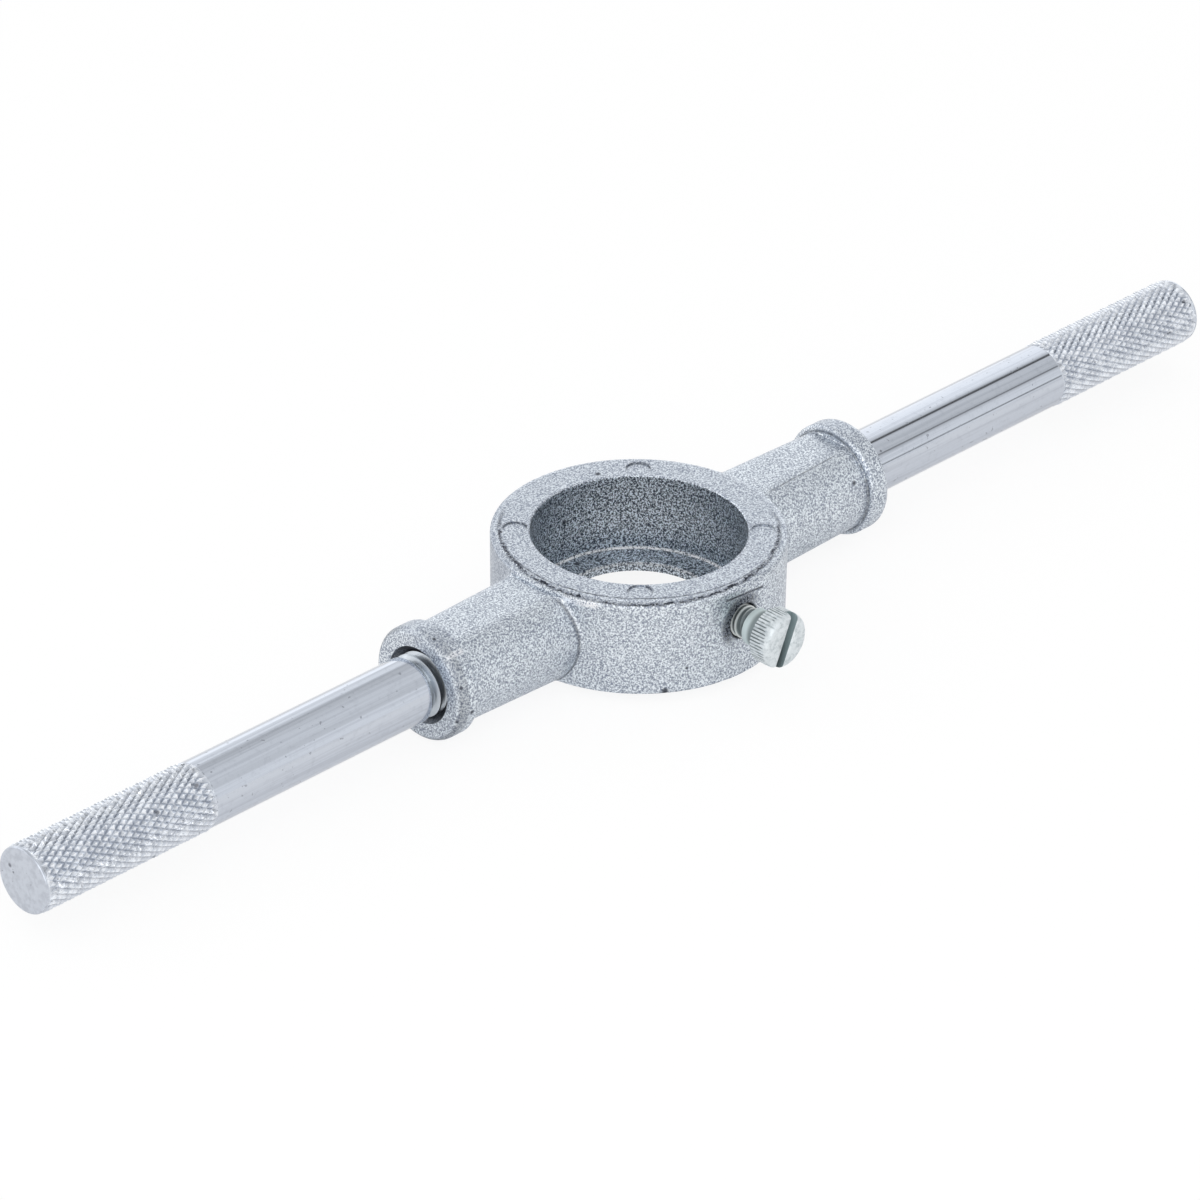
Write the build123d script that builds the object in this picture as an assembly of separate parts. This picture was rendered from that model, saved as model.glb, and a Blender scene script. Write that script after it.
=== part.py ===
from build123d import *
import math
import os

# Die stock for a round threading die. Sizes are in millimetres.
# The handles lie along X, the die drops in from above along Z, and the origin is where
# the handle axis crosses the axis of the die pocket.

# The round die that the pocket takes
die_diameter = 38.0
die_thickness = 14.0
die_clearance = 0.05
pocket_lip = 0.7

# Ring
ring_wall = 6.95
ring_floor = 3.5
face_height = 9.4
face_margin = 1.25
face_step = 0.15
ledge_drop = 0.3
ring_draft = 0.6
ring_edge = 0.5
mouth_chamfer = 0.25

# Passage for the work under the die
passage_radius = 13.7
passage_land = 1.6
passage_mouth_radius = 17.5

# Sleeves and collars
sleeve_root_radius = 9.85
sleeve_end_radius = 9.3
sleeve_flat_height = 8.35
sleeve_flat_round = 5.0
sleeve_reach = 48.9
collar_radius = 10.5
collar_length = 4.6
collar_outer_round = 1.4
collar_inner_round = 0.8
collar_corner_round = 0.3
crease_round = 1.0

# Handle sockets in the sleeves
socket_thread_clearance = 0.05
socket_mouth_radius = 7.2
socket_floor = 28.0
drill_point_angle = 118.0

# Handles
rod_radius = 6.0
handle_end = 142.5
thread_radius = 5.85
thread_length = 24.0
thread_chamfer = 1.0
shoulder_gap = 2.0
shoulder_chamfer = 0.4
shoulder_groove_radius = 5.1
end_round = 0.6

# Diamond knurl on the grips
knurl_start = 105.0
knurl_end_margin = 0.8
knurl_crest_radius = 6.24
knurl_valley_radius = 5.72
knurl_starts = 30
knurl_rows = 32

# Clamp screw
screw_radius = 2.95
screw_clearance = 0.05
screw_tip_gap = 0.25
screw_point_radius = 0.9
screw_point_length = 2.0
neck_start = 28.0
neck_radius = 3.4
neck_groove_radius = 2.45
neck_groove_length = 0.8
head_start = 31.75
head_radius = 5.15
head_cylinder = 2.65
head_crown = 1.4
head_face_radius = 4.3
head_flutes = 60
head_flute_depth = 0.22
slot_width = 1.8
slot_depth = 1.5
slot_turn = -23.0

# Flat seat for the clamp screw, milled up the ring wall from its base
seat_depth = 0.4
seat_top = 7.7
screw_mouth_chamfer = 0.45

# Ejector marks on the top face
mark_radius = 2.15
mark_circle = 21.6
mark_depth = 0.2
mark_count = 4

# Sizes that follow from the ones above
pocket_radius = die_diameter / 2 + die_clearance
ring_radius = pocket_radius + ring_wall
face_radius = ring_radius - face_margin
floor_height = face_height - die_thickness - pocket_lip
base_height = floor_height - ring_floor
ledge_height = face_height - face_step - ledge_drop
draft_slope = math.tan(math.radians(ring_draft))
base_radius = ring_radius - (ledge_height - base_height) * draft_slope
passage_land_end = floor_height - passage_land
sleeve_taper = (sleeve_root_radius - sleeve_end_radius) / (sleeve_reach - ring_radius)
sleeve_inner_radius = sleeve_end_radius + sleeve_taper * sleeve_reach
collar_end = sleeve_reach + collar_length
socket_radius = thread_radius + socket_thread_clearance
shoulder = collar_end + shoulder_gap
thread_end = shoulder - thread_length
screw_height = floor_height + die_thickness / 2
screw_bore_radius = screw_radius + screw_clearance
screw_tip = pocket_radius + screw_tip_gap
seat_plane = ring_radius - seat_depth
head_end = head_start + head_cylinder + head_crown
overshoot = 1.0


def turned_about_x(points):
    """Solid turned about the X axis from an outline of (x, radius) points."""
    outline = make_face(Polyline([(x, 0, radius) for x, radius in points], close=True))
    return revolve(outline, Axis.X)


def turned_about_z(points):
    """Solid turned about the Z axis from an outline of (radius, z) points."""
    outline = make_face(Polyline([(radius, 0, z) for radius, z in points], close=True))
    return revolve(outline, Axis.Z)


def rounded(outline, corners):
    """Outline in the XZ plane with each listed corner, (x, z, radius), rounded."""
    for x, z, radius in corners:
        corner = outline.vertices().sort_by_distance((x, 0, z))[0]
        outline = fillet(corner, radius)
    return outline


def ring_blank():
    """Drafted ring before it is bored, with the step and ledge round its top face."""
    outline = make_face(
        Polyline(
            [
                (0, 0, base_height),
                (base_radius, 0, base_height),
                (ring_radius, 0, ledge_height),
                (face_radius + face_step, 0, face_height - face_step),
                (face_radius, 0, face_height),
                (0, 0, face_height),
            ],
            close=True,
        )
    )
    outline = rounded(
        outline,
        [
            (base_radius, base_height, ring_edge),
            (ring_radius, ledge_height, ring_edge),
        ],
    )
    return revolve(outline, Axis.Z)


def sleeve_shaft():
    """Tapered sleeve on +X without its collar, with the rounded flat along its top."""
    shaft_end = sleeve_reach + collar_length / 2
    shaft = turned_about_x(
        [
            (0, 0),
            (0, sleeve_inner_radius),
            (shaft_end, sleeve_inner_radius - sleeve_taper * shaft_end),
            (shaft_end, 0),
        ]
    )
    shaft -= Pos(0, 0, sleeve_flat_height) * Box(
        shaft_end,
        4 * collar_radius,
        collar_radius,
        align=(Align.MIN, Align.CENTER, Align.MIN),
    )
    flat = shaft.faces().sort_by(Axis.Z)[-1]
    sides = [edge for edge in flat.edges() if edge.length > shaft_end / 2]
    return fillet(sides, sleeve_flat_round)


def collared_sleeve():
    """Sleeve on +X with its rounded collar, cut off where it would stand under the ring."""
    outline = make_face(
        Polyline(
            [
                (sleeve_reach, 0, 0),
                (sleeve_reach, 0, collar_radius),
                (collar_end, 0, collar_radius),
                (collar_end, 0, 0),
            ],
            close=True,
        )
    )
    outline = rounded(
        outline,
        [
            (sleeve_reach, collar_radius, collar_inner_round),
            (collar_end, collar_radius, collar_outer_round),
        ],
    )
    sleeve = sleeve_shaft() + revolve(outline, Axis.X)
    at_collar = sleeve.edges().filter_by_position(Axis.X, sleeve_reach, sleeve_reach)
    corner = at_collar.sort_by(SortBy.LENGTH)[:-1]
    sleeve = fillet(corner, collar_corner_round)
    under_ring = Pos(0, 0, base_height) * Cylinder(
        base_radius - ring_edge,
        collar_radius,
        align=(Align.CENTER, Align.CENTER, Align.MAX),
    )
    return sleeve - under_ring


def crease_fillet():
    """Fillet where the sleeve on +X meets the drafted ring wall, up to the sleeve's flat."""
    low = base_height - collar_radius
    high = face_height + collar_radius
    wall = turned_about_z(
        [
            (0, low),
            (base_radius + (low - base_height) * draft_slope, low),
            (base_radius + (high - base_height) * draft_slope, high),
            (0, high),
        ]
    )
    joined = wall + sleeve_shaft()
    curved = joined.edges().filter_by(GeomType.LINE, reverse=True)
    crease = [edge for edge in curved if 0 < edge.center().X < ring_radius + crease_round]
    joined = fillet(crease, crease_round)
    between = Pos(sleeve_end_radius, 0, base_height + ring_edge) * Box(
        ring_radius,
        4 * collar_radius,
        sleeve_flat_height - base_height - ring_edge,
        align=(Align.MIN, Align.CENTER, Align.MIN),
    )
    return joined & between


def socket_cutter():
    """Threaded socket on +X, bored from the collar to a drill point."""
    point_depth = socket_radius / math.tan(math.radians(drill_point_angle / 2))
    mouth_depth = socket_mouth_radius - socket_radius
    return turned_about_x(
        [
            (socket_floor - point_depth, 0),
            (socket_floor, socket_radius),
            (collar_end - mouth_depth, socket_radius),
            (collar_end, socket_mouth_radius),
            (collar_end + overshoot, socket_mouth_radius),
            (collar_end + overshoot, 0),
        ]
    )


def pocket_cutter():
    """Die pocket, its shoulder and the passage that opens out downwards."""
    return turned_about_z(
        [
            (0, base_height - overshoot),
            (passage_mouth_radius, base_height - overshoot),
            (passage_mouth_radius, base_height),
            (passage_radius, passage_land_end),
            (passage_radius, floor_height),
            (pocket_radius, floor_height),
            (pocket_radius, face_height - mouth_chamfer),
            (pocket_radius + mouth_chamfer, face_height),
            (pocket_radius + mouth_chamfer, face_height + overshoot),
            (0, face_height + overshoot),
        ]
    )


def about_screw(solid):
    """Moves a solid built along +X from the origin onto the clamp screw's axis, along -Y."""
    return Pos(0, 0, screw_height) * Rot(0, 0, -90) * solid


def screw_seat_cutter():
    """Flat seat on the ring wall, open to the base, and the bore of the clamp screw."""
    seat = Pos(seat_plane, 0, seat_top - screw_height) * Box(
        ring_wall,
        2 * ring_radius,
        seat_top - base_height + overshoot,
        align=(Align.MIN, Align.CENTER, Align.MAX),
    )
    bore = turned_about_x(
        [
            (pocket_radius - ring_wall, 0),
            (pocket_radius - ring_wall, screw_bore_radius),
            (seat_plane - screw_mouth_chamfer, screw_bore_radius),
            (seat_plane, screw_bore_radius + screw_mouth_chamfer),
            (seat_plane + overshoot, screw_bore_radius + screw_mouth_chamfer),
            (seat_plane + overshoot, 0),
        ]
    )
    return about_screw(seat + bore)


def ejector_marks():
    """Shallow round marks on the top face, evenly spaced and clear of the handle axis."""
    mark = Pos(mark_circle, 0, face_height - mark_depth) * Cylinder(
        mark_radius,
        mark_depth + overshoot,
        align=(Align.CENTER, Align.CENTER, Align.MIN),
    )
    turn = 360 / mark_count
    return [Rot(0, 0, turn * (index + 0.5)) * mark for index in range(mark_count)]


def stock_body():
    """The casting: ring, sleeves and collars, bored for the die, the handles and the screw."""
    right = collared_sleeve() + crease_fillet()
    left = Rot(0, 0, 180) * right
    body = ring_blank() + right + left
    socket = socket_cutter()
    body -= pocket_cutter()
    body -= socket
    body -= Rot(0, 0, 180) * socket
    body -= screw_seat_cutter()
    for mark in ejector_marks():
        body -= mark
    return body


def handle_core():
    """Rod on +X without its knurl, as the inner and the outer turned length."""
    groove_back = shoulder - (thread_radius - shoulder_groove_radius)
    inner = turned_about_x(
        [
            (thread_end, 0),
            (thread_end, thread_radius - thread_chamfer),
            (thread_end + thread_chamfer, thread_radius),
            (groove_back - shoulder_chamfer, thread_radius),
            (shoulder - shoulder_chamfer, shoulder_groove_radius),
            (shoulder, shoulder_groove_radius),
            (shoulder + shoulder_chamfer, rod_radius),
            (knurl_start, rod_radius),
            (knurl_start, 0),
        ]
    )
    knurl_stop = handle_end - knurl_end_margin
    outline = make_face(
        Polyline(
            [
                (knurl_stop, 0, 0),
                (knurl_stop, 0, rod_radius),
                (handle_end, 0, rod_radius),
                (handle_end, 0, 0),
            ],
            close=True,
        )
    )
    outline = rounded(outline, [(handle_end, rod_radius, end_round)])
    outer = revolve(outline, Axis.X)
    return inner, outer


def knurl_point(row, step):
    """Point of the knurl's lattice: even steps of a row are valleys and odd ones are crests."""
    rise = (handle_end - knurl_end_margin - knurl_start) / knurl_rows
    angle = math.pi * step / knurl_starts
    is_crest = (row + step) % 2 == 1 and 0 < row < knurl_rows
    radius = knurl_crest_radius if is_crest else knurl_valley_radius
    return Vector(knurl_start + rise * row, radius * math.cos(angle), radius * math.sin(angle))


def knurl_faces():
    """Four-sided pyramids left between two sets of crossing grooves."""
    faces = []
    for row in range(knurl_rows):
        for step in range(2 * knurl_starts):
            corners = [
                knurl_point(row, step),
                knurl_point(row, step + 1),
                knurl_point(row + 1, step + 1),
                knurl_point(row + 1, step),
            ]
            if (row + step) % 2 == 1:
                corners = corners[1:] + corners[:1]
            faces.append(Face(Wire.make_polygon([corners[0], corners[1], corners[2]])))
            faces.append(Face(Wire.make_polygon([corners[0], corners[2], corners[3]])))
    return faces


def knurl_collar(row):
    """Flat ring between the plain rod and the knurl's last row of valleys."""
    rim = Wire.make_polygon([knurl_point(row, step) for step in range(2 * knurl_starts)])
    plane = Plane(origin=(rim.center().X, 0, 0), x_dir=(0, 1, 0), z_dir=(1, 0, 0))
    return Face(Wire(plane * Edge.make_circle(rod_radius)), [rim])


def handle():
    """Handle on +X: threaded end, shank, knurled grip and rounded end, as one solid."""
    inner, outer = handle_core()
    knurl_stop = handle_end - knurl_end_margin
    faces = [face for face in inner.faces() if abs(face.center().X - knurl_start) > 0.001]
    faces += [face for face in outer.faces() if abs(face.center().X - knurl_stop) > 0.001]
    faces += knurl_faces()
    faces += [knurl_collar(0), knurl_collar(knurl_rows)]
    return Solid(Shell(faces))


def screw_head():
    """Straight-knurled head on +X with a crowned outer face, slotted at the angle it stopped at."""
    crown_start = head_start + head_cylinder
    root_radius = head_radius - head_flute_depth
    outline = make_face(
        Polyline(
            [
                (crown_start, 0, root_radius),
                (crown_start, 0, 0),
                (head_end, 0, 0),
                (head_end, 0, head_face_radius),
            ]
        )
        + TangentArc((crown_start, 0, root_radius), (head_end, 0, head_face_radius), tangent=(1, 0, 0))
    )
    crown = revolve(outline, Axis.X)
    flutes = []
    for step in range(2 * head_flutes):
        angle = math.pi * step / head_flutes
        radius = head_radius - head_flute_depth * (step % 2)
        flutes.append((radius * math.cos(angle), radius * math.sin(angle)))
    section = Plane(origin=(head_start, 0, 0), x_dir=(0, 1, 0), z_dir=(1, 0, 0))
    fluted = extrude(section * make_face(Polyline(flutes, close=True)), head_cylinder)
    slot = Pos(head_end, 0, 0) * Rot(slot_turn, 0, 0) * Box(
        2 * slot_depth,
        slot_width,
        3 * head_radius,
    )
    return (fluted + crown) - slot


def clamp_screw():
    """Clamp screw: point, threaded shank, plain neck and knurled head."""
    groove_end = neck_start - neck_groove_length
    shank = turned_about_x(
        [
            (screw_tip, 0),
            (screw_tip, screw_point_radius),
            (screw_tip + screw_point_length, screw_radius),
            (groove_end - (screw_radius - neck_groove_radius), screw_radius),
            (groove_end, neck_groove_radius),
            (neck_start, neck_groove_radius),
            (neck_start, neck_radius),
            (head_start, neck_radius),
            (head_start, 0),
        ]
    )
    return about_screw(screw_head() + shank)


right_handle = handle()
parts = {
    "stock_body": stock_body(),
    "left_handle": Rot(0, 0, 180) * right_handle,
    "right_handle": right_handle,
    "clamp_screw": clamp_screw(),
}

os.makedirs("parts", exist_ok=True)
for node, part in parts.items():
    export_step(part, f"parts/{node}.step")
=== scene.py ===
"""Looks of a die stock handle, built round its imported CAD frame.

The frame brings the casting, the two handles and the clamp screw at their real size. This
script dresses the casting and puts finely threaded and knurled pieces in the place of the
turned ones. Sizes of pieces are in millimetres and become metres when a mesh is built.
"""

import logging
import math
import random
from dataclasses import dataclass, field
from enum import Enum
from typing import Any, Union

import bmesh
import bpy
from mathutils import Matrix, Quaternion, Vector


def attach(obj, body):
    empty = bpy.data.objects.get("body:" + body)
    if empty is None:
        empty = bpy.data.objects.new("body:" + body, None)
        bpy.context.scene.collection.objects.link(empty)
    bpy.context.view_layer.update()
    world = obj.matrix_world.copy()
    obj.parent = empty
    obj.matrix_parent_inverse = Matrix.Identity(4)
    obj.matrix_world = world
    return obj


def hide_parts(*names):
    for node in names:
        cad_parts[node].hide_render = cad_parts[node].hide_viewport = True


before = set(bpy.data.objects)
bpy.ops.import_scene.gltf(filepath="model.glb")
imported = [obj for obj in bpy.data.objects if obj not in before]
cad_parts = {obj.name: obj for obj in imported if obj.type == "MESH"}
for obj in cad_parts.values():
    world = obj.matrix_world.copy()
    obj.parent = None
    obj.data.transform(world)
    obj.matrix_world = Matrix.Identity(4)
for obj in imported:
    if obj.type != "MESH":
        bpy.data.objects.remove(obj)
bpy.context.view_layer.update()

LOG = logging.getLogger("die_stock")
MM = 0.001
MERGE_DISTANCE = 0.0005

Colour = tuple[float, float, float]
Point = tuple[float, float, float]
Step = tuple[float, float]
Operand = Union[float, "Signal"]


class Slot(Enum):
    """The record's material slots."""

    CASTING = "zinc_casting"
    ROD = "plated_steel"
    SCREW = "zinc_plated_steel"


class Side(Enum):
    """Which way a handle points, as its turn about the pocket's axis in degrees."""

    RIGHT = 0.0
    LEFT = 180.0


# Shader maths


@dataclass(frozen=True)
class Signal:
    """A number that a node gives; arithmetic on it adds Math nodes to the same tree."""

    graph: "NodeGraph"
    socket: bpy.types.NodeSocket

    def maths(self, operation: str, *others: Operand) -> "Signal":
        """Adds one Math node with this number as its first value."""
        return self.graph.maths(operation, self, *others)

    def __add__(self, other: Operand) -> "Signal":
        """Sum."""
        return self.maths("ADD", other)

    __radd__ = __add__

    def __sub__(self, other: Operand) -> "Signal":
        """Difference."""
        return self.maths("SUBTRACT", other)

    def __rsub__(self, other: Operand) -> "Signal":
        """Difference with this number taken away."""
        return self.graph.maths("SUBTRACT", other, self)

    def __mul__(self, other: Operand) -> "Signal":
        """Product."""
        return self.maths("MULTIPLY", other)

    __rmul__ = __mul__

    def __truediv__(self, other: Operand) -> "Signal":
        """Quotient."""
        return self.maths("DIVIDE", other)

    def __pow__(self, other: Operand) -> "Signal":
        """Power."""
        return self.maths("POWER", other)

    def __neg__(self) -> "Signal":
        """The number with its sign turned."""
        return self.maths("MULTIPLY", -1.0)

    def __abs__(self) -> "Signal":
        """Size without its sign."""
        return self.maths("ABSOLUTE")

    def least(self, other: Operand) -> "Signal":
        """The smaller of the two."""
        return self.maths("MINIMUM", other)

    def most(self, other: Operand) -> "Signal":
        """The larger of the two."""
        return self.maths("MAXIMUM", other)

    def span(self, other: "Signal") -> "Signal":
        """Length of the step that has the two numbers as its parts."""
        return (self * self + other * other) ** 0.5

    def rise(self, low: float, high: float) -> "Signal":
        """Smooth step: 0 up to low and 1 from high on.

        Args:
            low: where the step starts.
            high: where the step ends.

        Returns:
            A number from 0 to 1.
        """
        node = self.graph.node(
            "ShaderNodeMapRange",
            {"interpolation_type": "SMOOTHSTEP"},
            {"Value": self, "From Min": low, "From Max": high},
        )
        return Signal(self.graph, node.outputs["Result"])

    def fall(self, low: float, high: float) -> "Signal":
        """Smooth step the other way: 1 up to low and 0 from high on."""
        return 1.0 - self.rise(low, high)

    def between(self, start: Step, end: Step) -> "Signal":
        """1 between a smooth step up and a smooth step down."""
        return self.rise(*start) * self.fall(*end)

    def near(self, place: float, width: float) -> "Signal":
        """1 at a place, fading to 0 at a distance of width on both sides."""
        return abs(self - place).fall(0.0, width)


@dataclass(frozen=True)
class SurfacePoint:
    """Where on a piece the shader is, in millimetres in the piece's own frame."""

    vector: bpy.types.NodeSocket
    x: Signal
    y: Signal
    z: Signal


class NodeGraph:
    """The node tree of one material, or of the world."""

    def __init__(self, tree: bpy.types.NodeTree) -> None:
        """Empties the tree.

        Args:
            tree: the node tree to fill.
        """
        self.tree = tree
        tree.nodes.clear()

    def node(
        self, kind: str, settings: dict[str, Any], inputs: dict[Union[str, int], Any]
    ) -> bpy.types.Node:
        """Adds a node: its settings first, then the values or links of its sockets.

        Args:
            kind: the node's type.
            settings: the node's own properties; "stops" holds a ramp's (place, colour) pairs.
            inputs: value, Signal or output socket for each input's name or number.

        Returns:
            The node.
        """
        made = self.tree.nodes.new(kind)
        for name, value in settings.items():
            if name == "stops":
                self._set_stops(made.color_ramp, value)
            else:
                setattr(made, name, value)
        for key, value in inputs.items():
            socket = made.inputs[key]
            if isinstance(value, Signal):
                value = value.socket
            if isinstance(value, bpy.types.NodeSocket):
                self.tree.links.new(value, socket)
            else:
                socket.default_value = value
        return made

    @staticmethod
    def _set_stops(ramp: bpy.types.ColorRamp, stops: list[tuple[float, Colour]]) -> None:
        """Gives a ramp its stops.

        Args:
            ramp: the ramp of a Color Ramp node.
            stops: place and colour of each stop, in order.
        """
        while len(ramp.elements) > 1:
            ramp.elements.remove(ramp.elements[-1])
        ramp.elements[0].position, ramp.elements[0].color = stops[0][0], (*stops[0][1], 1.0)
        for place, colour in stops[1:]:
            ramp.elements.new(place).color = (*colour, 1.0)

    def maths(self, operation: str, *values: Operand) -> Signal:
        """Adds a Math node and returns what it gives."""
        made = self.node("ShaderNodeMath", {"operation": operation}, dict(enumerate(values)))
        return Signal(self, made.outputs[0])

    def mix(self, share: Operand, first: Any, second: Any) -> bpy.types.NodeSocket:
        """Mixes two colours.

        Args:
            share: 0 for all of the first colour, 1 for all of the second.
            first: colour or socket.
            second: colour or socket.

        Returns:
            The mixed colour's socket.
        """
        colours = [(*c, 1.0) if isinstance(c, tuple) else c for c in (first, second)]
        made = self.node(
            "ShaderNodeMix", {"data_type": "RGBA"}, {0: share, 6: colours[0], 7: colours[1]}
        )
        return made.outputs[2]

    def vector(self, operation: str, first: Any, second: Any) -> bpy.types.Node:
        """Adds a Vector Math node; the second value of SCALE is its factor."""
        key = "Scale" if operation == "SCALE" else 1
        return self.node("ShaderNodeVectorMath", {"operation": operation}, {0: first, key: second})

    def parts(self, vector: bpy.types.NodeSocket) -> tuple[Signal, Signal, Signal]:
        """The x, y and z of a vector."""
        made = self.node("ShaderNodeSeparateXYZ", {}, {"Vector": vector})
        return tuple(Signal(self, made.outputs[axis]) for axis in "XYZ")

    def surface_point(self) -> SurfacePoint:
        """Finds the shaded point.

        Returns:
            The point, in millimetres in the piece's own frame.
        """
        coordinates = self.node("ShaderNodeTexCoord", {}, {})
        place = self.vector("SCALE", coordinates.outputs["Object"], 1 / MM).outputs["Vector"]
        return SurfacePoint(place, *self.parts(place))

    def noise(
        self, place: bpy.types.NodeSocket, per_mm: float, detail: float, harshness: float
    ) -> Signal:
        """Cloudy noise from 0 to 1.

        Args:
            place: coordinates in millimetres.
            per_mm: how many clouds go into a millimetre.
            detail: how many finer layers are added.
            harshness: how strong the finer layers are.

        Returns:
            The noise.
        """
        made = self.node(
            "ShaderNodeTexNoise",
            {},
            {"Vector": place, "Scale": per_mm, "Detail": detail, "Roughness": harshness},
        )
        return Signal(self, made.outputs[0])

    def stretched(self, place: bpy.types.NodeSocket, factors: Point) -> bpy.types.NodeSocket:
        """Coordinates scaled differently along each axis."""
        return self.vector("MULTIPLY", place, factors).outputs["Vector"]

    def near_point(self, place: bpy.types.NodeSocket, centre: Point, size: float) -> Signal:
        """1 at a point, fading to 0 at a distance of size."""
        off = Signal(self, self.vector("DISTANCE", place, centre).outputs["Value"])
        return off.fall(0.3 * size, size)


class SurfaceGraph(NodeGraph):
    """A material's nodes with its Principled BSDF."""

    def __init__(self, name: str, constants: dict[str, Any]) -> None:
        """Makes the material.

        Args:
            name: the material's name.
            constants: values of the shader's own sockets that are the same all over.
        """
        self.material = bpy.data.materials.new(name)
        self.material.use_nodes = True
        super().__init__(self.material.node_tree)
        self.shader = self.node("ShaderNodeBsdfPrincipled", {}, constants)
        self.node("ShaderNodeOutputMaterial", {}, {"Surface": self.shader.outputs[0]})

    def feed(self, socket: str, value: Any) -> None:
        """Links a varying value to one of the shader's sockets."""
        source = value.socket if isinstance(value, Signal) else value
        self.tree.links.new(source, self.shader.inputs[socket])

    def bump(self, height: Signal, depth_mm: float, strength: float) -> None:
        """Feeds the shader's normal from a height.

        Args:
            height: 0 to 1.
            depth_mm: what a height of 1 stands for.
            strength: share of the bump that is used.
        """
        inputs = {"Height": height, "Distance": depth_mm * MM, "Strength": strength}
        self.feed("Normal", self.node("ShaderNodeBump", {}, inputs).outputs[0])


# Finishes


@dataclass(frozen=True)
class Flaw:
    """A small pit or stain at a point of a surface."""

    centre: Point
    size: float


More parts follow.
